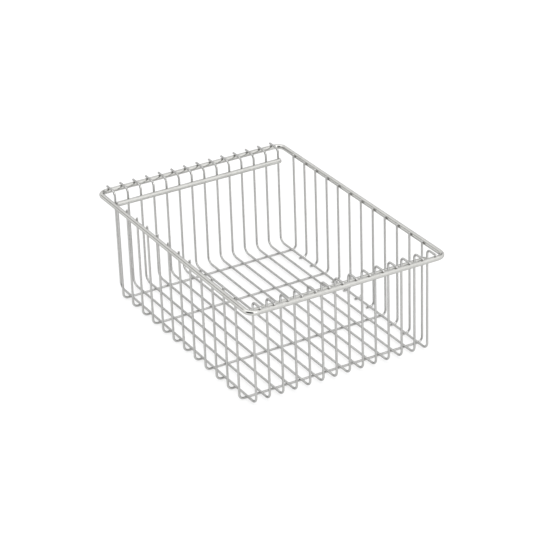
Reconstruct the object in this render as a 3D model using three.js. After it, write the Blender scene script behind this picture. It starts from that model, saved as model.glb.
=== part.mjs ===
// Welded wire basket, in millimetres, standing on XY with +Z up.
// X runs across the basket and Y along it, with +Y to the rear.
// The origin lies on the standing plane, under the middle of the basket.
import * as THREE from "three";

// Stock
const wireDiameter = 3;
const rimDiameter = 7;
const barDiameter = 7;

// Gap left between two pieces at each weld
const weldGap = 0.3;

// Basket body, measured between the centrelines of opposite wall wires
const bodyLength = 384;
const bodyWidth = 279.6;

// Height of the hooks over the floor wires, centreline to centreline
const bodyDepth = 147.5;

// Wires running lengthwise
const longWireCount = 14;
const floorBendRadius = 10;
const hookBendRadius = 6.5;
const rimStandOff = 19;
const frontHookOverhang = 2.2;
const rearHookOverhang = 4.2;

// Wires of the two long sides
const stationCount = 12;
const stationLanding = 17;
const crossStationStep = 3;
const sideBendRadius = 7;
const sideLanding = 2.8;
const sideTipPast = 2.9;
const sideTipRise = 0.4;

// Rim and stiffening bars
const rimCornerRadius = 12;
const barDrop = 16.6;
const barOverhang = 1.2;

// Facets of the round stock and steps of each bend
const wireSides = 8;
const rodSides = 12;
const wireBendSteps = 6;
const rimBendSteps = 10;

// Levels, from the standing plane upwards
const crossLevel = wireDiameter / 2;
const floorLevel = crossLevel + wireDiameter + weldGap;
const hookLevel = floorLevel + bodyDepth;
const rimLevel = hookLevel - wireDiameter / 2 - weldGap - rimDiameter / 2;
const sideTipLevel = rimLevel + rimDiameter / 2 + sideTipRise;
const barLevel = hookLevel - barDrop;

// Half spans, from the middle of the basket outwards
const endWall = bodyLength / 2;
const sideWall = bodyWidth / 2;
const rimHalfLength = endWall + rimStandOff;
const rimHalfWidth = sideWall + wireDiameter / 2 + weldGap + rimDiameter / 2;
const frontHookTip = rimHalfLength + frontHookOverhang;
const rearHookTip = rimHalfLength + rearHookOverhang;
const outerLongWire = sideWall - sideBendRadius - sideLanding;
const outerStation = endWall - floorBendRadius - stationLanding;
const sideTip = outerLongWire - sideTipPast;
const barPlace = endWall - wireDiameter / 2 - weldGap - barDiameter / 2;
const barHalfLength = outerLongWire + barOverhang;

// Pitches that spread the wires evenly between the outer ones
const longWirePitch = (2 * outerLongWire) / (longWireCount - 1);
const stationPitch = (2 * outerStation) / (stationCount - 1);

const steel = new THREE.MeshStandardMaterial({ color: 0xc4c4c0, roughness: 0.32, metalness: 0.9 });
const rodSteel = new THREE.MeshStandardMaterial({ color: 0xd0cfca, roughness: 0.26, metalness: 0.9 });

// Unit vector from one point towards another
function direction(from, to) {
  return to.clone().sub(from).normalize();
}

// Centreline of a bent wire: straight runs between corner points, with each corner rounded to its radius.
// It has a station at both ends and a few along every bend, and none along the straight runs.
class BentLine extends THREE.Curve {
  constructor(corners, radii, bendSteps) {
    super();
    this.points = [];
    this.tangents = [];
    this.addStation(corners[0], direction(corners[0], corners[1]));
    radii.forEach((radius, index) => {
      this.addBend(corners[index], corners[index + 1], corners[index + 2], radius, bendSteps);
    });
    this.addStation(corners.at(-1), direction(corners.at(-2), corners.at(-1)));
  }

  addStation(point, tangent) {
    this.points.push(point.clone());
    this.tangents.push(tangent.clone());
  }

  // Arc of the radius, touching the run into the corner and the run out of it
  addBend(before, corner, after, radius, bendSteps) {
    const inward = direction(before, corner);
    const outward = direction(corner, after);
    const turn = inward.angleTo(outward);
    const axis = inward.clone().cross(outward).normalize();
    const start = corner.clone().addScaledVector(inward, -radius * Math.tan(turn / 2));
    const centre = start.clone().addScaledVector(axis.clone().cross(inward), radius);
    const arm = start.clone().sub(centre);
    for (let step = 0; step <= bendSteps; step += 1) {
      const angle = (turn * step) / bendSteps;
      const point = arm.clone().applyAxisAngle(axis, angle).add(centre);
      this.addStation(point, inward.clone().applyAxisAngle(axis, angle));
    }
  }

  get steps() {
    return this.points.length - 1;
  }

  getPointAt(share, target = new THREE.Vector3()) {
    return target.copy(this.points[Math.round(share * this.steps)]);
  }

  getTangentAt(share, target = new THREE.Vector3()) {
    return target.copy(this.tangents[Math.round(share * this.steps)]);
  }
}

// Section of round stock, with flats square to the bend planes at the full diameter
function roundSection(diameter, sides) {
  const halfFacet = Math.PI / sides;
  const reach = diameter / 2 / Math.cos(halfFacet);
  const outline = [];
  for (let side = 0; side < sides; side += 1) {
    const angle = (2 * side + 1) * halfFacet;
    outline.push(new THREE.Vector2(reach * Math.cos(angle), reach * Math.sin(angle)));
  }
  return new THREE.Shape(outline);
}

// Solid wire along a centreline
function wireSolid(line, diameter, sides) {
  const section = roundSection(diameter, sides);
  return new THREE.ExtrudeGeometry(section, { steps: line.steps, extrudePath: line });
}

// Solid ring along a centreline that ends where it begins: its two lids fall on each other and are left out
function ringSolid(line, diameter, sides) {
  const open = wireSolid(line, diameter, sides);
  const wall = open.groups[1];
  const place = open.getAttribute("position");
  const first = wall.start * place.itemSize;
  const last = first + wall.count * place.itemSize;
  const ring = new THREE.BufferGeometry();
  ring.setAttribute("position", new THREE.BufferAttribute(place.array.slice(first, last), place.itemSize));
  ring.computeVertexNormals();
  return ring;
}

const basket = new THREE.Group();
basket.name = "wire_basket";

function addPiece(name, geometry, material) {
  const piece = new THREE.Mesh(geometry, material);
  piece.name = name;
  basket.add(piece);
  return piece;
}

function numbered(stem, number) {
  return `${stem}_${String(number).padStart(2, "0")}`;
}

// Rim: one closed ring of heavy rod with rounded corners, from the middle of the front end round to it again
const rimLine = new BentLine(
  [
    new THREE.Vector3(0, -rimHalfLength, 0),
    new THREE.Vector3(rimHalfWidth, -rimHalfLength, 0),
    new THREE.Vector3(rimHalfWidth, rimHalfLength, 0),
    new THREE.Vector3(-rimHalfWidth, rimHalfLength, 0),
    new THREE.Vector3(-rimHalfWidth, -rimHalfLength, 0),
    new THREE.Vector3(0, -rimHalfLength, 0),
  ],
  [rimCornerRadius, rimCornerRadius, rimCornerRadius, rimCornerRadius],
  rimBendSteps,
);
addPiece("rim_frame", ringSolid(rimLine, rimDiameter, rodSides), rodSteel).position.z = rimLevel;

// Stiffening bars, one at each end, welded to the inner faces of the wall wires below the rim
const barLine = new BentLine(
  [new THREE.Vector3(-barHalfLength, 0, 0), new THREE.Vector3(barHalfLength, 0, 0)],
  [],
  wireBendSteps,
);
const barSolid = wireSolid(barLine, barDiameter, rodSides);
addPiece("rear_bar", barSolid, rodSteel).position.set(0, barPlace, barLevel);
addPiece("front_bar", barSolid, rodSteel).position.set(0, -barPlace, barLevel);

// Long wires: along the floor, up both end walls, then out over the rim
const longLine = new BentLine(
  [
    new THREE.Vector3(0, -frontHookTip, hookLevel),
    new THREE.Vector3(0, -endWall, hookLevel),
    new THREE.Vector3(0, -endWall, floorLevel),
    new THREE.Vector3(0, endWall, floorLevel),
    new THREE.Vector3(0, endWall, hookLevel),
    new THREE.Vector3(0, rearHookTip, hookLevel),
  ],
  [hookBendRadius, floorBendRadius, floorBendRadius, hookBendRadius],
  wireBendSteps,
);
const longSolid = wireSolid(longLine, wireDiameter, wireSides);
for (let index = 0; index < longWireCount; index += 1) {
  const wire = addPiece(numbered("long_wire", index + 1), longSolid, steel);
  wire.position.x = index * longWirePitch - outerLongWire;
}

// Full cross wires: down one long side, under the floor wires and up the other long side
const crossLine = new BentLine(
  [
    new THREE.Vector3(-sideWall, 0, sideTipLevel),
    new THREE.Vector3(-sideWall, 0, crossLevel),
    new THREE.Vector3(sideWall, 0, crossLevel),
    new THREE.Vector3(sideWall, 0, sideTipLevel),
  ],
  [sideBendRadius, sideBendRadius],
  wireBendSteps,
);
const crossSolid = wireSolid(crossLine, wireDiameter, wireSides);

// Side wires: down one long side and in under the outermost floor wire
const sideLine = new BentLine(
  [
    new THREE.Vector3(sideWall, 0, sideTipLevel),
    new THREE.Vector3(sideWall, 0, crossLevel),
    new THREE.Vector3(sideTip, 0, crossLevel),
  ],
  [sideBendRadius],
  wireBendSteps,
);
const sideSolid = wireSolid(sideLine, wireDiameter, wireSides);

// Stations are numbered from the rear end: the first and last and one inside each carry a full cross wire
for (let index = 0; index < stationCount; index += 1) {
  const place = outerStation - index * stationPitch;
  const fromEnd = Math.min(index, stationCount - 1 - index);
  if (fromEnd === 0 || fromEnd === crossStationStep) {
    addPiece(numbered("cross_wire", index + 1), crossSolid, steel).position.y = place;
    continue;
  }
  addPiece(numbered("right_side_wire", index + 1), sideSolid, steel).position.y = place;
  const left = addPiece(numbered("left_side_wire", index + 1), sideSolid, steel);
  left.position.y = place;
  left.rotation.z = Math.PI;
}

export default basket;
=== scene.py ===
"""Dressed model of a welded steel wire basket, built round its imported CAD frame.

Every wire and rod is a circle carried along a bent centreline, and every weld is a small collar
between two crossing wires. All sizes are in metres, in the frame's own axes: X across the basket,
Y along it with +Y to the rear, and Z up from the floor that the basket stands on.
"""

import logging
import math
from dataclasses import dataclass
from enum import Enum

import bpy
import numpy as np
from mathutils import Matrix, Vector

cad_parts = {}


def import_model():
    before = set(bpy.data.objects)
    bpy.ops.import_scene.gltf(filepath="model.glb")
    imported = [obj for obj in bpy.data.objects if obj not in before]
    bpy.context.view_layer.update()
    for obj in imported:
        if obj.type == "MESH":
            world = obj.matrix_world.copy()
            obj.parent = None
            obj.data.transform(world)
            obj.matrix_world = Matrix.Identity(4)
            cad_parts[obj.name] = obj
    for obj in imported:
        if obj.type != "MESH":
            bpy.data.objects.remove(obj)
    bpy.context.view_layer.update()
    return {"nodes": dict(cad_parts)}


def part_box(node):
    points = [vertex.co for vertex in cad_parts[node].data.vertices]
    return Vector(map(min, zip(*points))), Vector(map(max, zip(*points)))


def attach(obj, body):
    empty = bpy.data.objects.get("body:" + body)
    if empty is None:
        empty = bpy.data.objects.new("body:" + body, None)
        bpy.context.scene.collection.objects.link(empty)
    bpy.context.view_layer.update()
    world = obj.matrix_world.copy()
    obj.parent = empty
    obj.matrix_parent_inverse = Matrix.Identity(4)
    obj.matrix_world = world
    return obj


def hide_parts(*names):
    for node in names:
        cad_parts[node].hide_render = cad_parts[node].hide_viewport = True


Array = np.ndarray
Socket = bpy.types.NodeSocket
Rgba = tuple[float, float, float, float]

LOG = logging.getLogger("wire_basket")
BODY = "root"
WELD_GAP = 0.0003
END_WALL = 0.192
SIDE_BEND = 0.007
CUT_FADE = 3
UV_NAME = "round_and_along"
HEAT_NAME = "weld_heat_and_shade"
CUT_NAME = "cut_face"
AXIS_X = np.array([1.0, 0.0, 0.0])
AXIS_Y = np.array([0.0, 1.0, 0.0])
AXIS_Z = np.array([0.0, 0.0, 1.0])


class End(Enum):
    """The two short ends of the basket, by their direction along Y."""

    FRONT = -1.0
    REAR = 1.0


class Side(Enum):
    """The two long sides of the basket, by their direction along X."""

    LEFT = -1.0
    RIGHT = 1.0


class Slot(Enum):
    """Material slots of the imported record."""

    WIRE = "wire_steel"
    ROD = "rod_steel"


@dataclass(frozen=True)
class Stock:
    """Round stock: its radius, the sides of its drawn section and the rounding of a cut end."""

    radius: float
    sides: int
    cut_round: float


WIRE = Stock(radius=0.0015, sides=20, cut_round=0.0006)
ROD = Stock(radius=0.0035, sides=36, cut_round=0.0014)


def unit(vector: Array) -> Array:
    """The vector divided by its length."""
    return vector / np.linalg.norm(vector)


def node_box(name: str) -> tuple[Array, Array]:
    """Lowest and highest corner of a CAD node, as arrays."""
    low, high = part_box(name)
    return np.array(low), np.array(high)


@dataclass(frozen=True)
class Run:
    """One straight run, or one bend where the radius isn't zero, of a centreline.

    A bend turns about the axis: its centre lies one radius from its origin, on the left of the
    heading when the axis points at the viewer.
    """

    start: float
    length: float
    origin: Array
    heading: Array
    radius: float
    axis: Array

    def points(self, along: Array) -> Array:
        """Places on the run, at lengths from its start.

        A straight run is origin + length * heading. A bend is its centre + the arm from the centre
        to the origin, turned about the axis by length / radius.

        Args:
            along: Lengths from the start of the run.

        Returns:
            One row of X, Y and Z for each length.
        """
        if self.radius == 0.0:
            return self.origin + along[:, None] * self.heading
        inward = np.cross(self.axis, self.heading)
        turn = (along / self.radius)[:, None]
        sideways = np.sin(turn) * self.heading
        return self.origin + self.radius * (sideways + (1.0 - np.cos(turn)) * inward)

    def headings(self, along: Array) -> Array:
        """Directions of the run, at lengths from its start.

        Args:
            along: Lengths from the start of the run.

        Returns:
            One unit row for each length: the heading, turned about the axis by length / radius.
        """
        if self.radius == 0.0:
            return np.repeat(self.heading[None, :], len(along), axis=0)
        inward = np.cross(self.axis, self.heading)
        turn = (along / self.radius)[:, None]
        return np.cos(turn) * self.heading + np.sin(turn) * inward


class Centreline:
    """Centreline of bent stock: straight runs between corners, each corner rounded to its radius."""

    STRAIGHT_STEP = 0.006
    BEND_STEP = math.radians(6.0)
    SEARCH_STEP = 0.0005
    FINEST_STEP = 0.0002
    ROUND_STEPS = 5
    WELD_STEPS = np.array([-4.0, -2.6, -1.6, -0.8, 0.0, 0.8, 1.6, 2.6, 4.0]) * 0.001

    def __init__(self, corners: list[Array], radii: list[float], plane: Array, closed: bool) -> None:
        """Lays out the runs.

        Args:
            corners: Ends and corner points of the line, all in one plane.
            radii: Bend radius of each corner between the ends.
            plane: Unit normal of the plane that the line lies in.
            closed: Whether the line ends where it begins.
        """
        self.plane = plane
        self.closed = closed
        self.runs: list[Run] = []
        self.length = 0.0
        place = corners[0]
        for index, radius in enumerate(radii):
            before, corner, after = corners[index : index + 3]
            inward, outward = unit(corner - before), unit(after - corner)
            turn = math.acos(float(np.clip(inward @ outward, -1.0, 1.0)))
            setback = radius * math.tan(turn / 2.0)
            start = corner - inward * setback
            self._add(float(np.linalg.norm(start - place)), place, inward, 0.0, plane)
            self._add(radius * turn, start, inward, radius, unit(np.cross(inward, outward)))
            place = corner + outward * setback
        last = corners[-1] - place
        self._add(float(np.linalg.norm(last)), place, unit(last), 0.0, plane)

    def _add(self, length: float, origin: Array, heading: Array, radius: float, axis: Array) -> None:
        """Joins one run to the end of the line."""
        self.runs.append(Run(self.length, length, origin, heading, radius, axis))
        self.length += length

    def sample(self, stations: Array) -> tuple[Array, Array]:
        """Places and directions at lengths along the whole line.

        Args:
            stations: Rising lengths from the beginning of the line.

        Returns:
            The points and the unit headings, a row for each station.
        """
        starts = np.array([run.start for run in self.runs])
        owner = np.clip(np.searchsorted(starts, stations, side="right") - 1, 0, len(self.runs) - 1)
        points = np.empty((len(stations), 3))
        headings = np.empty((len(stations), 3))
        for index, run in enumerate(self.runs):
            along = stations[owner == index] - run.start
            points[owner == index] = run.points(along)
            headings[owner == index] = run.headings(along)
        return points, headings

    def stations(self, welds: Array, stock: Stock) -> Array:
        """Lengths at which the section is drawn: close together in bends, at welds and at cut ends.

        Args:
            welds: Contact points of all welds; those on this line's surface get their own stations.
            stock: The stock that is carried along the line.

        Returns:
            Rising lengths from zero to the whole length.
        """
        parts = []
        for run in self.runs:
            step = self.STRAIGHT_STEP if run.radius == 0.0 else self.BEND_STEP * run.radius
            count = max(2, math.ceil(run.length / step) + 1)
            parts.append(run.start + np.linspace(0.0, run.length, count))
        search = np.arange(0.0, self.length, self.SEARCH_STEP)
        distance = np.linalg.norm(welds[None] - self.sample(search)[0][:, None], axis=2)
        touching = distance.min(axis=0) < stock.radius + 2.0 * WELD_GAP
        nearest = search[distance.argmin(axis=0)][touching]
        parts.append((nearest[:, None] + self.WELD_STEPS).ravel())
        inner = np.unique(np.round(np.concatenate(parts) / self.FINEST_STEP)) * self.FINEST_STEP
        margin = self.FINEST_STEP if self.closed else stock.cut_round + self.FINEST_STEP
        inner = inner[(inner > margin) & (inner < self.length - margin)]
        if self.closed:
            return np.concatenate([[0.0], inner, [self.length]])
        quarter = np.linspace(0.0, math.pi / 2.0, self.ROUND_STEPS)
        rounding = stock.cut_round * (1.0 - np.cos(quarter))
        return np.concatenate([rounding, inner, self.length - rounding[::-1]])


@dataclass
class Surface:
    """A closed surface with its texture coordinates, its weld heat, which also masks painted contact shade,
    and its cut faces.

    The faces are quads and then triangles, and uv has a row for each corner in that order.
    """

    points: Array
    quads: Array
    triangles: Array
    uv: Array
    heat: Array
    cut: Array

    def to_mesh(self, name: str) -> bpy.types.Mesh:
        """Puts the arrays into a Blender mesh, smooth on the quads and flat on the triangles.

        Args:
            name: Name of the mesh.

        Returns:
            The new mesh.
        """
        mesh = bpy.data.meshes.new(name)
        mesh.from_pydata(self.points.tolist(), [], self.quads.tolist() + self.triangles.tolist())
        smooth = np.arange(len(mesh.polygons)) < len(self.quads)
        mesh.polygons.foreach_set("use_smooth", smooth)
        mesh.uv_layers.new(name=UV_NAME).data.foreach_set("uv", self.uv.ravel())
        for label, values in ((HEAT_NAME, self.heat), (CUT_NAME, self.cut)):
            layer = mesh.attributes.new(label, "FLOAT", "POINT")
            layer.data.foreach_set("value", values.astype(np.float32))
        mesh.validate()
        mesh.update()
        return mesh


def grid_quads(rows: int, columns: int) -> Array:
    """Quads of a grid that closes on itself along its columns.

    Args:
        rows: Number of rings.
        columns: Points in each ring.

    Returns:
        Four corners for each quad. It faces outwards where the points of a ring run right-handed
        round the direction from one ring to the next.
    """
    row = np.arange(rows - 1)[:, None] * columns
    here = np.arange(columns)[None, :]
    beside = (here + 1) % columns
    corners = [row + here, row + beside, row + columns + beside, row + columns + here]
    return np.stack(corners, axis=-1).reshape(-1, 4)


def grid_uv(along: Array, columns: int) -> Array:
    """Texture coordinates of such a grid, by corner: U once round the ring and V along.

    Args:
        along: V of each ring.
        columns: Points in each ring.

    Returns:
        Four rows of U and V for each quad.
    """
    u = np.arange(columns) / columns
    u = np.stack([u, u + 1.0 / columns, u + 1.0 / columns, u], axis=-1)
    v = np.stack([along[:-1], along[:-1], along[1:], along[1:]], axis=-1)
    shape = (len(along) - 1, columns, 4)
    both = [np.broadcast_to(u[None], shape), np.broadcast_to(v[:, None], shape)]
    return np.stack(both, axis=-1).reshape(-1, 2)


class WeldHeatAndShade:
    """Heat left in the steel round the welds, which also masks painted contact shade there, falling off
    with distance as a bell curve.
    """

    REACH = 0.0018

    def __init__(self, welds: Array) -> None:
        """Keeps the contact points of all welds."""
        self.welds = welds

    def at(self, points: Array) -> Array:
        """Heat from 0 to 1: the exponential of minus (distance to the nearest weld / reach) squared.

        Args:
            points: Places on a surface.

        Returns:
            One value for each place.
        """
        nearest = np.full(len(points), np.inf)
        for weld in self.welds:
            nearest = np.minimum(nearest, ((points - weld) ** 2).sum(axis=1))
        return np.exp(-nearest / self.REACH**2)


def round_stock(line: Centreline, stock: Stock, heat: WeldHeatAndShade) -> Surface:
    """Surface of round stock along a centreline.

    Each ring is the centreline's point + radius * (cos a * across + sin a * plane normal), with
    across = plane normal x heading. Near a cut end the radius follows a quarter circle inwards, and
    a fan of triangles round the end's middle closes it.

    Args:
        line: The bent centreline.
        stock: Radius, sides and rounding of the ends.
        heat: The weld heat, which is stored on the points.

    Returns:
        The closed surface.
    """
    stations = line.stations(heat.welds, stock)
    if line.closed:
        stations = stations[:-1]
    middle, heading = line.sample(stations)
    across = np.cross(line.plane, heading)
    angle = 2.0 * math.pi * np.arange(stock.sides) / stock.sides
    ring = np.cos(angle)[None, :, None] * across[:, None] + np.sin(angle)[None, :, None] * line.plane
    if line.closed:
        points = (middle[:, None] + stock.radius * ring).reshape(-1, 3)
        quads = grid_quads(len(stations) + 1, stock.sides) % len(points)
        uv = grid_uv(np.append(stations, line.length), stock.sides)
        none = np.zeros((0, 3), dtype=int)
        return Surface(points, quads, none, uv, heat.at(points), np.zeros(len(points)))
    from_end = np.minimum(stations, line.length - stations)
    into_round = np.clip(1.0 - from_end / stock.cut_round, 0.0, 1.0)
    radius = stock.radius - stock.cut_round * (1.0 - np.sqrt(1.0 - into_round**2))
    wall = (middle[:, None] + radius[:, None, None] * ring).reshape(-1, 3)
    points = np.concatenate([wall, middle[:1], middle[-1:]])
    here = np.arange(stock.sides)
    beside = (here + 1) % stock.sides
    last_ring = len(wall) - stock.sides
    first_middle = np.full(stock.sides, len(wall))
    first_fan = np.stack([first_middle, beside, here], axis=-1)
    last_fan = np.stack([first_middle + 1, last_ring + here, last_ring + beside], axis=-1)
    triangles = np.concatenate([first_fan, last_fan])
    fan_uv = np.stack([triangles / stock.sides, np.zeros(triangles.shape)], axis=-1)
    fan_uv = fan_uv.reshape(-1, 2) % 1.0
    # mask of the cut ends: the wire's painted highlight and the rod's darker ends go here
    cut = np.repeat(into_round**CUT_FADE, stock.sides)
    return Surface(
        points,
        grid_quads(len(stations), stock.sides),
        triangles,
        np.concatenate([grid_uv(stations, stock.sides), fan_uv]),
        heat.at(points),
        np.concatenate([cut, [1.0, 1.0]]),
    )


class Bench:
    """A node tree with short calls for placing nodes and joining them."""

    def __init__(self, tree: bpy.types.NodeTree) -> None:
        """Takes the tree that the nodes go into."""
        self.tree = tree

    def place(self, kind: str, settings: dict | None = None, **inputs: object) -> bpy.types.Node:
        """Places a node.

        Args:
            kind: Blender's name of the node type.
            settings: Properties of the node itself.
            **inputs: Values or sockets for its inputs, with spaces in their names as underscores.

        Returns:
            The node.
        """
        node = self.tree.nodes.new(kind)
        for key, value in (settings or {}).items():
            setattr(node, key, value)
        for key, value in inputs.items():
            self.feed(node.inputs[key.replace("_", " ")], value)
        return node

    def feed(self, target: Socket, value: object) -> None:
        """Joins a socket to an input, or sets the input's own value.

        Args:
            target: The input.
            value: A socket, or a plain value.
        """
        if isinstance(value, bpy.types.NodeSocket):
            self.tree.links.new(value, target)
        else:
            target.default_value = value

    def pair(self, kind: str, operation: str, first: object, second: object) -> bpy.types.Node:
        """Places a node that works on two values or sockets.

        Args:
            kind: Blender's name of the node type.
            operation: What it does with them.
            first: The first value or socket.
            second: The second value or socket.

        Returns:
            The node.
        """
        node = self.place(kind, {"operation": operation})
        self.feed(node.inputs[0], first)
        self.feed(node.inputs[1], second)
        return node

    def calculate(self, operation: str, first: object, second: object) -> Socket:
        """Result of an operation on two numbers."""
        return self.pair("ShaderNodeMath", operation, first, second).outputs[0]

    def dot(self, first: object, second: object) -> Socket:
        """Dot product of two vectors."""
        return self.pair("ShaderNodeVectorMath", "DOT_PRODUCT", first, second).outputs["Value"]

    def blend(self, share: object, first: object, second: object) -> Socket:
        """Mixes two colours.

        Args:
            share: Share of the second colour, from 0 to 1.
            first: The first colour.
            second: The second colour.

        Returns:
            The colour between them.
        """
        node = self.place("ShaderNodeMix", {"data_type": "RGBA"})
        sockets = {socket.identifier: socket for socket in node.inputs}
        self.feed(sockets["Factor_Float"], share)
        self.feed(sockets["A_Color"], first)
        self.feed(sockets["B_Color"], second)
        return next(socket for socket in node.outputs if socket.identifier == "Result_Color")

    def ranged(self, value: Socket, low: float, high: float, to_low: float, to_high: float) -> Socket:
        """Eases a value from one range into another, and holds it at the ends.

        Args:
            value: The value.
            low: Where the first range begins.
            high: Where the first range ends.
            to_low: Where the second range begins.
            to_high: Where the second range ends.

        Returns:
            The eased value.
        """
        settings = {"interpolation_type": "SMOOTHSTEP"}
        node = self.place("ShaderNodeMapRange", settings, Value=value)
        ends = {"From Min": low, "From Max": high, "To Min": to_low, "To Max": to_high}
        for key, number in ends.items():
            node.inputs[key].default_value = number
        return node.outputs["Result"]


class Effect(Enum):
    """Shader node groups that several finishes share."""

    DRAWN_LINES = "drawn_lines"
    CLOUDING = "clouding"
    HEAT_TINT_AND_SHADE = "heat_tint_and_shade"


class EffectShelf:
    """Builds each shared node group once and hands it out."""

    LINE_DETAIL = 3.0
    LINE_RANGE = (0.3, 0.7)
    FINE_CLOUDS = 6.0
    CLOUD_RANGE = (0.12, 0.4)
    HEAT_NOISE_SCALE = 900.0
    HEAT_NOISE_DETAIL = 4.0
    HEAT_NOISE_RANGE = (0.25, 0.75)
    HEAT_SHIFT = 0.22
    HALO_RANGE = (0.08, 0.7)
    CORE_RANGE = (0.5, 0.95)

    def __init__(self) -> None:
        """Builds the groups."""
        self.groups = {
            Effect.DRAWN_LINES: self._drawn_lines(),
            Effect.CLOUDING: self._clouding(),
            Effect.HEAT_TINT_AND_SHADE: self._heat_tint_and_shade(),
        }

    def _open(self, effect: Effect, inputs: dict[str, str], outputs: list[str]) -> tuple[Bench, dict, dict]:
        """Starts a group with named sockets.

        Args:
            effect: Which group.
            inputs: Socket type of each input.
            outputs: Names of the value outputs.

        Returns:
            The group's bench, its inputs by name and its outputs by name.
        """
        tree = bpy.data.node_groups.new(effect.value, "ShaderNodeTree")
        for name, kind in inputs.items():
            tree.interface.new_socket(name, in_out="INPUT", socket_type=kind)
        for name in outputs:
            tree.interface.new_socket(name, in_out="OUTPUT", socket_type="NodeSocketFloat")
        bench = Bench(tree)
        start = bench.place("NodeGroupInput")
        stop = bench.place("NodeGroupOutput")
        given = {name: start.outputs[name] for name in inputs}
        result = {name: stop.inputs[name] for name in outputs}
        return bench, given, result

    def _drawn_lines(self) -> bpy.types.NodeTree:
        """Fine lines that the drawing die leaves: noise squeezed round the wire, stretched along it.

        Returns:
            The group.
        """
        inputs = {"Vector": "NodeSocketVector", "Squeeze": "NodeSocketVector"}
        bench, given, result = self._open(Effect.DRAWN_LINES, inputs, ["Lines"])
        squeezed = bench.pair("ShaderNodeVectorMath", "MULTIPLY", given["Vector"], given["Squeeze"])
        flat = {"noise_dimensions": "2D"}
        noise = bench.place("ShaderNodeTexNoise", flat, Vector=squeezed.outputs[0])
        noise.inputs["Scale"].default_value = 1.0
        noise.inputs["Detail"].default_value = self.LINE_DETAIL
        bench.feed(result["Lines"], bench.ranged(noise.outputs["Fac"], *self.LINE_RANGE, 0.0, 1.0))
        return bench.tree

    def _clouding(self) -> bpy.types.NodeTree:
        """Soft patches left by pickling and handling: two sizes of noise multiplied together.

        Returns:
            The group.
        """
        inputs = {"Vector": "NodeSocketVector", "Scale": "NodeSocketFloat"}
        bench, given, result = self._open(Effect.CLOUDING, inputs, ["Clouds"])
        wide = bench.place("ShaderNodeTexNoise", Vector=given["Vector"], Scale=given["Scale"])
        fine_scale = bench.calculate("MULTIPLY", given["Scale"], self.FINE_CLOUDS)
        fine = bench.place("ShaderNodeTexNoise", Vector=given["Vector"], Scale=fine_scale)
        both = bench.calculate("MULTIPLY", wide.outputs["Fac"], fine.outputs["Fac"])
        bench.feed(result["Clouds"], bench.ranged(both, *self.CLOUD_RANGE, 0.0, 1.0))
        return bench.tree

    def _heat_tint_and_shade(self) -> bpy.types.NodeTree:
        """Weld heat with a broken edge, for the heat tint and the painted contact shade: the stored heat *
        (1 + noise), taken through an easing range.

        Returns:
            The group.
        """
        inputs = {"Vector": "NodeSocketVector", "Heat": "NodeSocketFloat"}
        bench, given, result = self._open(Effect.HEAT_TINT_AND_SHADE, inputs, ["Halo", "Core"])
        noise = bench.place("ShaderNodeTexNoise", Vector=given["Vector"])
        noise.inputs["Scale"].default_value = self.HEAT_NOISE_SCALE
        noise.inputs["Detail"].default_value = self.HEAT_NOISE_DETAIL
        spread = (-self.HEAT_SHIFT, self.HEAT_SHIFT)
        shift = bench.ranged(noise.outputs["Fac"], *self.HEAT_NOISE_RANGE, *spread)
        uneven = bench.calculate("MULTIPLY", shift, given["Heat"])
        broken = bench.calculate("ADD", given["Heat"], uneven)
        bench.feed(result["Halo"], bench.ranged(broken, *self.HALO_RANGE, 0.0, 1.0))
        bench.feed(result["Core"], bench.ranged(broken, *self.CORE_RANGE, 0.0, 1.0))
        return bench.tree

    def use(self, bench: Bench, effect: Effect, **inputs: object) -> dict[str, Socket]:
        """Places a group in a material and gives its outputs by name."""
        node = bench.place("ShaderNodeGroup", {"node_tree": self.groups[effect]}, **inputs)
        return {socket.name: socket for socket in node.outputs}


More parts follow.
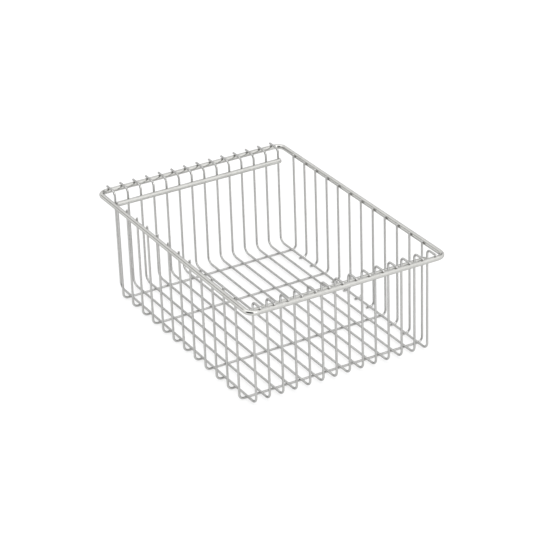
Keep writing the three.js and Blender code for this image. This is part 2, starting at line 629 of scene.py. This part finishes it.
@dataclass(frozen=True)
class SteelFinish:
    """Bright steel, drawn or rolled, with clouding, weld heat tint and painted contact shade, and cut ends
    in their own tone.
    """

    name: str
    bright: Rgba
    clouded: Rgba
    halo: Rgba
    core: Rgba
    cut_end_tone: Rgba
    edge: Rgba
    roughness: float
    lines_roughness: float
    clouds_roughness: float
    heat_roughness: float
    squeeze: tuple[float, float, float]
    cloud_scale: float
    line_depth: float
    line_strength: float = 0.5

    def material(self, shelf: EffectShelf) -> bpy.types.Material:
        """Builds the finish as a node material.

        Args:
            shelf: The shared node groups.

        Returns:
            The material.
        """
        made = bpy.data.materials.new(self.name)
        made.use_nodes = True
        made.node_tree.nodes.clear()
        bench = Bench(made.node_tree)
        place = bench.place("ShaderNodeTexCoord").outputs["Object"]
        along = bench.place("ShaderNodeUVMap", {"uv_map": UV_NAME}).outputs["UV"]
        heat = bench.place("ShaderNodeAttribute", {"attribute_name": HEAT_NAME}).outputs["Fac"]
        cut = bench.place("ShaderNodeAttribute", {"attribute_name": CUT_NAME}).outputs["Fac"]
        lines = shelf.use(bench, Effect.DRAWN_LINES, Vector=along, Squeeze=self.squeeze)["Lines"]
        clouds = shelf.use(bench, Effect.CLOUDING, Vector=place, Scale=self.cloud_scale)["Clouds"]
        tint_and_shade = shelf.use(bench, Effect.HEAT_TINT_AND_SHADE, Vector=place, Heat=heat)
        colour = bench.blend(clouds, self.bright, self.clouded)
        # heat tint round the welds, darker there partly as painted contact shade
        colour = bench.blend(tint_and_shade["Halo"], colour, self.halo)
        colour = bench.blend(tint_and_shade["Core"], colour, self.core)
        # cut ends in their own tone: on the drawn wire a painted highlight, on the rod a darker end
        colour = bench.blend(cut, colour, self.cut_end_tone)
        rough = bench.calculate("MULTIPLY", lines, self.lines_roughness)
        rough = bench.calculate("ADD", rough, self.roughness)
        rough = bench.calculate("ADD", rough, bench.calculate("MULTIPLY", clouds, self.clouds_roughness))
        scaled = bench.calculate("MULTIPLY", tint_and_shade["Halo"], self.heat_roughness)
        rough = bench.calculate("ADD", rough, scaled)
        bump = bench.place("ShaderNodeBump", Height=lines)
        bump.inputs["Strength"].default_value = self.line_strength
        bump.inputs["Distance"].default_value = self.line_depth
        shader = bench.place("ShaderNodeBsdfPrincipled", Base_Color=colour, Roughness=rough)
        bench.feed(shader.inputs["Normal"], bump.outputs["Normal"])
        shader.inputs["Metallic"].default_value = 1.0
        shader.inputs["Specular Tint"].default_value = self.edge
        bench.place("ShaderNodeOutputMaterial", Surface=shader.outputs["BSDF"])
        return made


DRAWN_WIRE = SteelFinish(
    name="drawn_wire_steel",
    bright=(0.533, 0.532, 0.523, 1.0),
    clouded=(0.478, 0.476, 0.467, 1.0),
    # heat tint and painted contact shade round the welds
    halo=(0.485, 0.478, 0.465, 1.0),
    core=(0.445, 0.435, 0.417, 1.0),
    # cut ends painted much lighter than the wire: a painted highlight on the tips
    cut_end_tone=(0.700, 0.695, 0.684, 1.0),
    edge=(0.20, 0.20, 0.20, 1.0),
    roughness=0.19,
    lines_roughness=0.08,
    clouds_roughness=0.07,
    heat_roughness=0.16,
    squeeze=(64.0, 26.0, 1.0),
    cloud_scale=70.0,
    line_depth=0.000012,
)

POLISHED_ROD = SteelFinish(
    name="polished_rod_steel",
    bright=(0.583, 0.582, 0.562, 1.0),
    clouded=(0.527, 0.525, 0.505, 1.0),
    # heat tint and painted contact shade round the welds
    halo=(0.490, 0.480, 0.458, 1.0),
    core=(0.420, 0.407, 0.384, 1.0),
    # the bars are darker towards their cut ends
    cut_end_tone=(0.260, 0.254, 0.244, 1.0),
    edge=(0.55, 0.55, 0.55, 1.0),
    roughness=0.13,
    lines_roughness=0.06,
    clouds_roughness=0.06,
    heat_roughness=0.16,
    squeeze=(110.0, 18.0, 1.0),
    cloud_scale=45.0,
    line_depth=0.000010,
)

WELD_METAL = SteelFinish(
    name="weld_metal",
    bright=(0.560, 0.550, 0.530, 1.0),
    clouded=(0.490, 0.480, 0.460, 1.0),
    # heat tint and painted contact shade round the welds
    halo=(0.520, 0.509, 0.490, 1.0),
    core=(0.470, 0.459, 0.440, 1.0),
    cut_end_tone=(0.490, 0.480, 0.460, 1.0),
    edge=(0.30, 0.30, 0.30, 1.0),
    roughness=0.34,
    lines_roughness=0.10,
    clouds_roughness=0.10,
    heat_roughness=0.06,
    squeeze=(9.0, 4.0, 1.0),
    cloud_scale=420.0,
    line_depth=0.000030,
)


class FinishRack:
    """The materials of the basket, each made once."""

    def __init__(self) -> None:
        """Builds the shared effects and then the materials."""
        shelf = EffectShelf()
        finishes = (DRAWN_WIRE, POLISHED_ROD, WELD_METAL)
        self.materials = {finish: finish.material(shelf) for finish in finishes}

    def dress(self, name: str, surface: Surface, finish: SteelFinish, slot: Slot, *nodes: str) -> None:
        """Makes a finished piece of a surface and fixes it to the frame.

        Args:
            name: Name of the piece.
            surface: Its shape.
            finish: Its finish.
            slot: Not used.
            *nodes: CAD nodes that the piece stands for.
        """
        piece = bpy.data.objects.new(name, surface.to_mesh(name))
        piece.data.materials.append(self.materials[finish])
        bpy.context.scene.collection.objects.link(piece)
        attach(piece, BODY)
        if nodes:
            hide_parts(*nodes)
        LOG.info("%s: %d faces", name, len(piece.data.polygons))

    def dress_wire(self, node: str, line: Centreline, heat: WeldHeatAndShade) -> None:
        """Bends wire along a centreline, in place of a CAD node."""
        self.dress(f"{node}_bent", round_stock(line, WIRE, heat), DRAWN_WIRE, Slot.WIRE, node)


@dataclass(frozen=True)
class Layout:
    """Levels and places of the centrelines, read from the boxes of the CAD nodes."""

    rim_half_width: float
    rim_half_length: float
    rim_level: float
    bar_place: float
    bar_half_length: float
    bar_level: float
    front_hook_tip: float
    rear_hook_tip: float
    hook_level: float
    floor_level: float
    side_wall: float
    side_tip: float
    side_tip_level: float
    cross_level: float
    long_places: dict[str, float]
    cross_places: dict[str, float]
    side_places: dict[Side, dict[str, float]]

    @classmethod
    def read(cls, nodes: list[str]) -> "Layout":
        """Reads the frame.

        Args:
            nodes: Names of all CAD nodes.

        Returns:
            The layout.
        """

        def places(stem: str, axis: int) -> dict[str, float]:
            """Middle of each node whose name begins with the stem, along one axis."""
            chosen = [name for name in nodes if name.startswith(stem)]
            return {name: float(sum(node_box(name))[axis] / 2.0) for name in chosen}

        rim_low, rim_high = node_box("rim_frame")
        bar_low, bar_high = node_box("rear_bar")
        long_places = places("long_wire", 0)
        cross_places = places("cross_wire", 1)
        side_places = {side: places(f"{side.name.lower()}_side_wire", 1) for side in Side}
        long_low, long_high = node_box(next(iter(long_places)))
        cross_low, cross_high = node_box(next(iter(cross_places)))
        right_low, _ = node_box(next(iter(side_places[Side.RIGHT])))
        return cls(
            rim_half_width=float(rim_high[0]) - ROD.radius,
            rim_half_length=float(rim_high[1]) - ROD.radius,
            rim_level=float(rim_low[2] + rim_high[2]) / 2.0,
            bar_place=float(bar_low[1] + bar_high[1]) / 2.0,
            bar_half_length=float(bar_high[0]),
            bar_level=float(bar_low[2] + bar_high[2]) / 2.0,
            front_hook_tip=float(long_low[1]),
            rear_hook_tip=float(long_high[1]),
            hook_level=float(long_high[2]) - WIRE.radius,
            floor_level=float(long_low[2]) + WIRE.radius,
            side_wall=float(cross_high[0]) - WIRE.radius,
            side_tip=float(right_low[0]),
            side_tip_level=float(cross_high[2]),
            cross_level=float(cross_low[2]) + WIRE.radius,
            long_places=long_places,
            cross_places=cross_places,
            side_places=side_places,
        )


@dataclass(frozen=True)
class WeldRow:
    """A row of equal welds between two sets of stock that cross at right angles.

    The normal points from the first stock's axis to the second's.
    """

    name: str
    places: Array
    normal: Array
    first_axis: Array
    first_radius: float
    second_radius: float


@dataclass
class Welds:
    """Weld collars wherever two wires cross, each a saddle that hugs both wires."""

    layout: Layout
    reach: float = 0.00112
    rod_reach: float = 0.00122
    reach_spread: float = 0.10
    waist: float = 0.30
    lump: float = 0.07
    lumps_round: int = 3
    sink: float = 0.00015
    sectors: int = 12
    rings: int = 4
    seed: int = 14

    def rows(self) -> list[WeldRow]:
        """Lists the rows of welds.

        Returns:
            Hooks on the rim, wall wires on the bars, floor wires on the cross wires, side wires
            under the outermost floor wires, and side wires on the rim.
        """
        plan = self.layout
        half_gap = WELD_GAP / 2.0
        long_x = np.array(list(plan.long_places.values()))
        outer_x = float(long_x.max())
        under_floor = plan.floor_level - WIRE.radius - half_gap
        rows = []
        for end in End:
            stem = end.name.lower()
            rim_top = (long_x, end.value * plan.rim_half_length, plan.rim_level + ROD.radius + half_gap)
            bar_face = (long_x, end.value * (END_WALL - WIRE.radius - half_gap), plan.bar_level)
            outward = end.value * AXIS_Y
            rows.append(self._row(f"{stem}_hook_welds", rim_top, AXIS_Z, AXIS_X, ROD, WIRE))
            rows.append(self._row(f"{stem}_bar_welds", bar_face, outward, AXIS_X, ROD, WIRE))
        for node, place in plan.cross_places.items():
            crossing = (long_x, place, under_floor)
            name = node.replace("cross_wire", "floor_welds")
            rows.append(self._row(name, crossing, AXIS_Z, AXIS_X, WIRE, WIRE))
        for side in Side:
            stem = side.name.lower()
            j_y = np.array(list(plan.side_places[side].values()))
            all_y = np.concatenate([j_y, list(plan.cross_places.values())])
            tip = (side.value * outer_x, j_y, under_floor)
            rim_face = (side.value * (plan.side_wall + WIRE.radius + half_gap), all_y, plan.rim_level)
            rows.append(self._row(f"{stem}_side_tip_welds", tip, AXIS_Z, AXIS_X, WIRE, WIRE))
            rows.append(self._row(f"{stem}_rim_welds", rim_face, side.value * AXIS_X, AXIS_Z, WIRE, ROD))
        return rows

    @staticmethod
    def _row(name: str, place: tuple, normal: Array, axis: Array, first: Stock, second: Stock) -> WeldRow:
        """A row whose X, Y and Z may each be one number or an array."""
        places = np.stack(np.broadcast_arrays(*place), axis=-1).astype(float)
        return WeldRow(name, places, normal, axis, first.radius, second.radius)

    def collars(self, row: WeldRow, heat: WeldHeatAndShade, chance: np.random.Generator) -> Surface:
        """Surface of all collars of a row.

        At an angle a round the contact, the first wire falls away by r1 - sqrt(r1^2 - (reach sin a)^2)
        and the second rises by r2 - sqrt(r2^2 - (reach cos a)^2). The collar spans that gap, sunk a
        little into both wires, and its reach narrows to a waist half way up. A fan closes each end.

        Args:
            row: The welds.
            heat: The weld heat.
            chance: Source of the small differences between welds.

        Returns:
            The closed collars, one after another.
        """
        count = len(row.places)
        on_rod = max(row.first_radius, row.second_radius) > WIRE.radius
        wanted = self.rod_reach if on_rod else self.reach
        reach = wanted * (1.0 + self.reach_spread * chance.uniform(-1.0, 1.0, (count, 1, 1)))
        phase = chance.uniform(0.0, 2.0 * math.pi, (count, 1, 1))
        angle = 2.0 * math.pi * np.arange(self.sectors)[None, None, :] / self.sectors
        rise = np.linspace(0.0, 1.0, self.rings)[None, :, None]
        first_fall = row.first_radius - np.sqrt(row.first_radius**2 - (reach * np.sin(angle)) ** 2)
        second_fall = row.second_radius - np.sqrt(row.second_radius**2 - (reach * np.cos(angle)) ** 2)
        low = -(WELD_GAP / 2.0 + first_fall + self.sink)
        high = WELD_GAP / 2.0 + second_fall + self.sink
        height = low + rise * (high - low)
        lumps = 1.0 + self.lump * np.cos(self.lumps_round * angle + phase)
        out = reach * lumps * (1.0 - self.waist * np.sin(math.pi * rise))
        beside = np.cross(row.normal, row.first_axis)
        spread = np.cos(angle)[..., None] * row.first_axis + np.sin(angle)[..., None] * beside
        wall = row.places[:, None, None] + out[..., None] * spread + height[..., None] * row.normal
        middle = WELD_GAP / 2.0 + self.sink
        poles = np.stack([row.places - middle * row.normal, row.places + middle * row.normal], axis=1)
        points = np.concatenate([wall.reshape(count, -1, 3), poles], axis=1)
        each = points.shape[1]
        here = np.arange(self.sectors)
        next_on = (here + 1) % self.sectors
        top = (self.rings - 1) * self.sectors
        bottom_fan = np.stack([np.full(self.sectors, each - 2), next_on, here], axis=-1)
        top_fan = np.stack([np.full(self.sectors, each - 1), top + here, top + next_on], axis=-1)
        offset = (np.arange(count) * each)[:, None, None]
        quads = (grid_quads(self.rings, self.sectors)[None] + offset).reshape(-1, 4)
        triangles = (np.concatenate([bottom_fan, top_fan])[None] + offset).reshape(-1, 3)
        uv = np.tile(grid_uv(rise.ravel(), self.sectors), (count, 1))
        uv = np.concatenate([uv, np.zeros((triangles.size, 2))])
        flat = points.reshape(-1, 3)
        return Surface(flat, quads, triangles, uv, heat.at(flat), np.zeros(len(flat)))

    def build(self, rack: FinishRack, heat: WeldHeatAndShade) -> None:
        """Makes each row of welds one piece.

        Args:
            rack: The finishes.
            heat: The weld heat.
        """
        chance = np.random.default_rng(self.seed)
        for row in self.rows():
            rack.dress(row.name, self.collars(row, heat, chance), WELD_METAL, Slot.WIRE)


@dataclass
class Rim:
    """Rim of heavy rod, one closed ring with rounded corners."""

    layout: Layout
    corner_radius: float = 0.012

    def build(self, rack: FinishRack, heat: WeldHeatAndShade) -> None:
        """Bends the ring from the middle of the front end, round the four corners and back.

        Args:
            rack: The finishes.
            heat: The weld heat.
        """
        plan = self.layout
        signs = [(0.0, -1.0), (1.0, -1.0), (1.0, 1.0), (-1.0, 1.0), (-1.0, -1.0), (0.0, -1.0)]
        size = np.array([plan.rim_half_width, plan.rim_half_length])
        corners = [np.array([*(size * sign), plan.rim_level]) for sign in signs]
        line = Centreline(corners, [self.corner_radius] * 4, AXIS_Z, closed=True)
        rack.dress("rim_rod", round_stock(line, ROD, heat), POLISHED_ROD, Slot.ROD, "rim_frame")


@dataclass
class StiffeningBars:
    """Straight bars of heavy rod, welded inside both end walls below the rim."""

    layout: Layout

    def build(self, rack: FinishRack, heat: WeldHeatAndShade) -> None:
        """Cuts one bar for each end.

        Args:
            rack: The finishes.
            heat: The weld heat.
        """
        plan = self.layout
        reaches = (-plan.bar_half_length, plan.bar_half_length)
        for end in End:
            place = end.value * plan.bar_place
            ends = [np.array([reach, place, plan.bar_level]) for reach in reaches]
            line = Centreline(ends, [], AXIS_Z, closed=False)
            node = f"{end.name.lower()}_bar"
            rack.dress(f"{node}_rod", round_stock(line, ROD, heat), POLISHED_ROD, Slot.ROD, node)


@dataclass
class LongWires:
    """Wires along the floor, up both end walls and hooked out over the rim."""

    layout: Layout
    floor_bend: float = 0.010
    hook_bend: float = 0.0065

    def build(self, rack: FinishRack, heat: WeldHeatAndShade) -> None:
        """Bends one wire for each place across the basket.

        Args:
            rack: The finishes.
            heat: The weld heat.
        """
        plan = self.layout
        outline = [
            (plan.front_hook_tip, plan.hook_level),
            (-END_WALL, plan.hook_level),
            (-END_WALL, plan.floor_level),
            (END_WALL, plan.floor_level),
            (END_WALL, plan.hook_level),
            (plan.rear_hook_tip, plan.hook_level),
        ]
        radii = [self.hook_bend, self.floor_bend, self.floor_bend, self.hook_bend]
        for node, place in plan.long_places.items():
            corners = [np.array([place, *point]) for point in outline]
            rack.dress_wire(node, Centreline(corners, radii, AXIS_X, closed=False), heat)


@dataclass
class CrossWires:
    """U wires: down one long side, under the floor wires and up the other side."""

    layout: Layout

    def build(self, rack: FinishRack, heat: WeldHeatAndShade) -> None:
        """Bends one wire for each place along the basket.

        Args:
            rack: The finishes.
            heat: The weld heat.
        """
        plan = self.layout
        outline = [
            (-plan.side_wall, plan.side_tip_level),
            (-plan.side_wall, plan.cross_level),
            (plan.side_wall, plan.cross_level),
            (plan.side_wall, plan.side_tip_level),
        ]
        for node, place in plan.cross_places.items():
            corners = [np.array([across, place, level]) for across, level in outline]
            rack.dress_wire(node, Centreline(corners, [SIDE_BEND] * 2, AXIS_Y, closed=False), heat)


@dataclass
class SideWires:
    """J wires: down one long side and in under the outermost floor wire."""

    layout: Layout

    def build(self, rack: FinishRack, heat: WeldHeatAndShade) -> None:
        """Bends one wire for each place on each side.

        Args:
            rack: The finishes.
            heat: The weld heat.
        """
        plan = self.layout
        outline = [
            (plan.side_wall, plan.side_tip_level),
            (plan.side_wall, plan.cross_level),
            (plan.side_tip, plan.cross_level),
        ]
        for side in Side:
            for node, place in plan.side_places[side].items():
                corners = [np.array([side.value * across, place, level]) for across, level in outline]
                rack.dress_wire(node, Centreline(corners, [SIDE_BEND], AXIS_Y, closed=False), heat)


@dataclass(frozen=True)
class DomePatch:
    """An oval patch of the light dome: where it lies, how far it reaches and how much it darkens.

    All angles are in degrees. The azimuth is 0 in front of the basket and 90 on its right. A depth
    of 1 is black, and a depth below 0 makes the patch brighter than the dome round it.
    """

    azimuth: float
    elevation: float
    half_width: float
    half_height: float
    depth: float
    full_inside: float = 0.80
    gone_outside: float = 1.15
    facing_from: float = 0.2

    def axes(self) -> tuple[Vector, Vector, Vector]:
        """Directions of the patch, from its azimuth and elevation.

        Returns:
            Unit vectors towards the patch, level across it and up along it.
        """
        turn, lift = math.radians(self.azimuth), math.radians(self.elevation)
        level = Vector((math.cos(turn), math.sin(turn), 0.0))
        ahead = Vector((math.sin(turn), -math.cos(turn), 0.0))
        towards = ahead * math.cos(lift) + Vector((0.0, 0.0, math.sin(lift)))
        return towards, level, towards.cross(level)

    def light_kept(self, bench: Bench, way: Socket) -> Socket:
        """Share of the dome's light that the patch leaves in each direction.

        With x and y as the direction's shares along the patch's two axes, divided by its half sizes,
        the patch is full where x^2 + y^2 is small, gone where it is large, and gone behind.

        Args:
            bench: The dome's node tree.
            way: The direction.

        Returns:
            A share that runs from 1 - depth in the patch to 1 outside it.
        """
        ahead, across, up = [bench.dot(way, axis) for axis in self.axes()]
        across = bench.calculate("DIVIDE", across, math.sin(math.radians(self.half_width)))
        up = bench.calculate("DIVIDE", up, math.sin(math.radians(self.half_height)))
        across = bench.calculate("POWER", across, 2.0)
        up = bench.calculate("POWER", up, 2.0)
        from_middle = bench.calculate("ADD", across, up)
        inside = bench.ranged(from_middle, self.full_inside, self.gone_outside, self.depth, 0.0)
        facing = bench.ranged(ahead, 0.0, self.facing_from, 0.0, 1.0)
        return bench.calculate("SUBTRACT", 1.0, bench.calculate("MULTIPLY", inside, facing))


@dataclass
class Studio:
    """Pale floor, soft surrounding light and the camera."""

    floor_half: float = 14.0
    floor_colour: Rgba = (0.36, 0.36, 0.36, 1.0)
    floor_glow: float = 0.635
    dome_light: float = 1.27
    dome_swing: float = 0.22
    dome_bright_side: tuple[float, float, float] = (-0.35, -0.10, 0.93)
    dome_patches: tuple[DomePatch, ...] = (
        DomePatch(azimuth=-62.0, elevation=20.0, half_width=38.0, half_height=36.0, depth=1.00),
        DomePatch(azimuth=112.0, elevation=52.0, half_width=36.0, half_height=26.0, depth=0.20),
        DomePatch(azimuth=122.0, elevation=36.0, half_width=20.0, half_height=12.0, depth=0.70),
        DomePatch(azimuth=-150.0, elevation=24.0, half_width=14.0, half_height=12.0, depth=0.60),
        DomePatch(azimuth=178.0, elevation=24.0, half_width=40.0, half_height=20.0, depth=0.10),
        DomePatch(azimuth=-13.0, elevation=37.0, half_width=17.0, half_height=13.0, depth=-2.60),
        DomePatch(azimuth=-105.0, elevation=68.0, half_width=36.0, half_height=20.0, depth=-0.18),
    )
    camera_place: tuple[float, float, float] = (-1.29139, -2.32812, 1.44371)
    camera_yaw: float = -28.98352
    camera_lift: float = 27.08183
    camera_roll: float = -2.09944
    camera_lens: float = 149.77
    camera_sensor: float = 36.0

    def build(self) -> None:
        """Lays the floor, sets the light and places the camera."""
        self._floor()
        self._light()
        self._camera()

    def _floor(self) -> None:
        """Lays a square floor at the basket's foot: a pale board, lit a little from below."""
        signs = np.array([(-1.0, -1.0, 0.0), (1.0, -1.0, 0.0), (1.0, 1.0, 0.0), (-1.0, 1.0, 0.0)])
        mesh = bpy.data.meshes.new("studio_floor")
        mesh.from_pydata((signs * self.floor_half).tolist(), [], [(0, 1, 2, 3)])
        made = bpy.data.materials.new("pale_floor")
        made.use_nodes = True
        made.node_tree.nodes.clear()
        bench = Bench(made.node_tree)
        board = bench.place("ShaderNodeBsdfPrincipled")
        board.inputs["Base Color"].default_value = self.floor_colour
        board.inputs["Roughness"].default_value = 1.0
        board.inputs["Specular IOR Level"].default_value = 0.0
        board.inputs["Emission Color"].default_value = (1.0, 1.0, 1.0, 1.0)
        board.inputs["Emission Strength"].default_value = self.floor_glow
        bench.place("ShaderNodeOutputMaterial", Surface=board.outputs["BSDF"])
        mesh.materials.append(made)
        floor = bpy.data.objects.new("studio_floor", mesh)
        bpy.context.scene.collection.objects.link(floor)

    def _light(self) -> None:
        """Surrounds the scene with a dome, brighter above, with patches that the steel mirrors."""
        world = bpy.data.worlds.new("studio_dome")
        world.use_nodes = True
        world.node_tree.nodes.clear()
        bench = Bench(world.node_tree)
        way = bench.place("ShaderNodeTexCoord").outputs["Generated"]
        facing = bench.dot(way, Vector(self.dome_bright_side).normalized())
        swing = bench.calculate("MULTIPLY", facing, self.dome_swing)
        light = bench.calculate("ADD", swing, self.dome_light)
        for patch in self.dome_patches:
            light = bench.calculate("MULTIPLY", light, patch.light_kept(bench, way))
        sky = bench.place("ShaderNodeBackground", Strength=light)
        sky.inputs["Color"].default_value = (1.0, 1.0, 1.0, 1.0)
        bench.place("ShaderNodeOutputWorld", Surface=sky.outputs["Background"])
        bpy.context.scene.world = world
        bpy.context.scene.view_settings.view_transform = "Standard"

    def _camera(self) -> None:
        """Places the camera: yaw about Z, tilt below level, and roll about its own axis."""
        data = bpy.data.cameras.new("studio_camera")
        data.sensor_width = self.camera_sensor
        data.lens = self.camera_lens
        camera = bpy.data.objects.new("studio_camera", data)
        yaw = Matrix.Rotation(math.radians(self.camera_yaw), 4, "Z")
        tilt = Matrix.Rotation(math.radians(90.0 - self.camera_lift), 4, "X")
        roll = Matrix.Rotation(math.radians(self.camera_roll), 4, "Z")
        camera.matrix_world = Matrix.Translation(self.camera_place) @ yaw @ tilt @ roll
        bpy.context.scene.collection.objects.link(camera)
        bpy.context.scene.camera = camera


def main() -> None:
    """Loads the frame, builds the basket's sub-assemblies in order and sets the studio."""
    logging.basicConfig(level=logging.INFO, format="%(name)s: %(message)s")
    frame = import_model()
    layout = Layout.read(sorted(frame["nodes"]))
    welds = Welds(layout)
    # weld heat, also the mask of painted contact shade
    heat = WeldHeatAndShade(np.concatenate([row.places for row in welds.rows()]))
    rack = FinishRack()
    Rim(layout).build(rack, heat)
    StiffeningBars(layout).build(rack, heat)
    LongWires(layout).build(rack, heat)
    CrossWires(layout).build(rack, heat)
    SideWires(layout).build(rack, heat)
    welds.build(rack, heat)
    Studio().build()


if __name__ == "__main__":
    main()
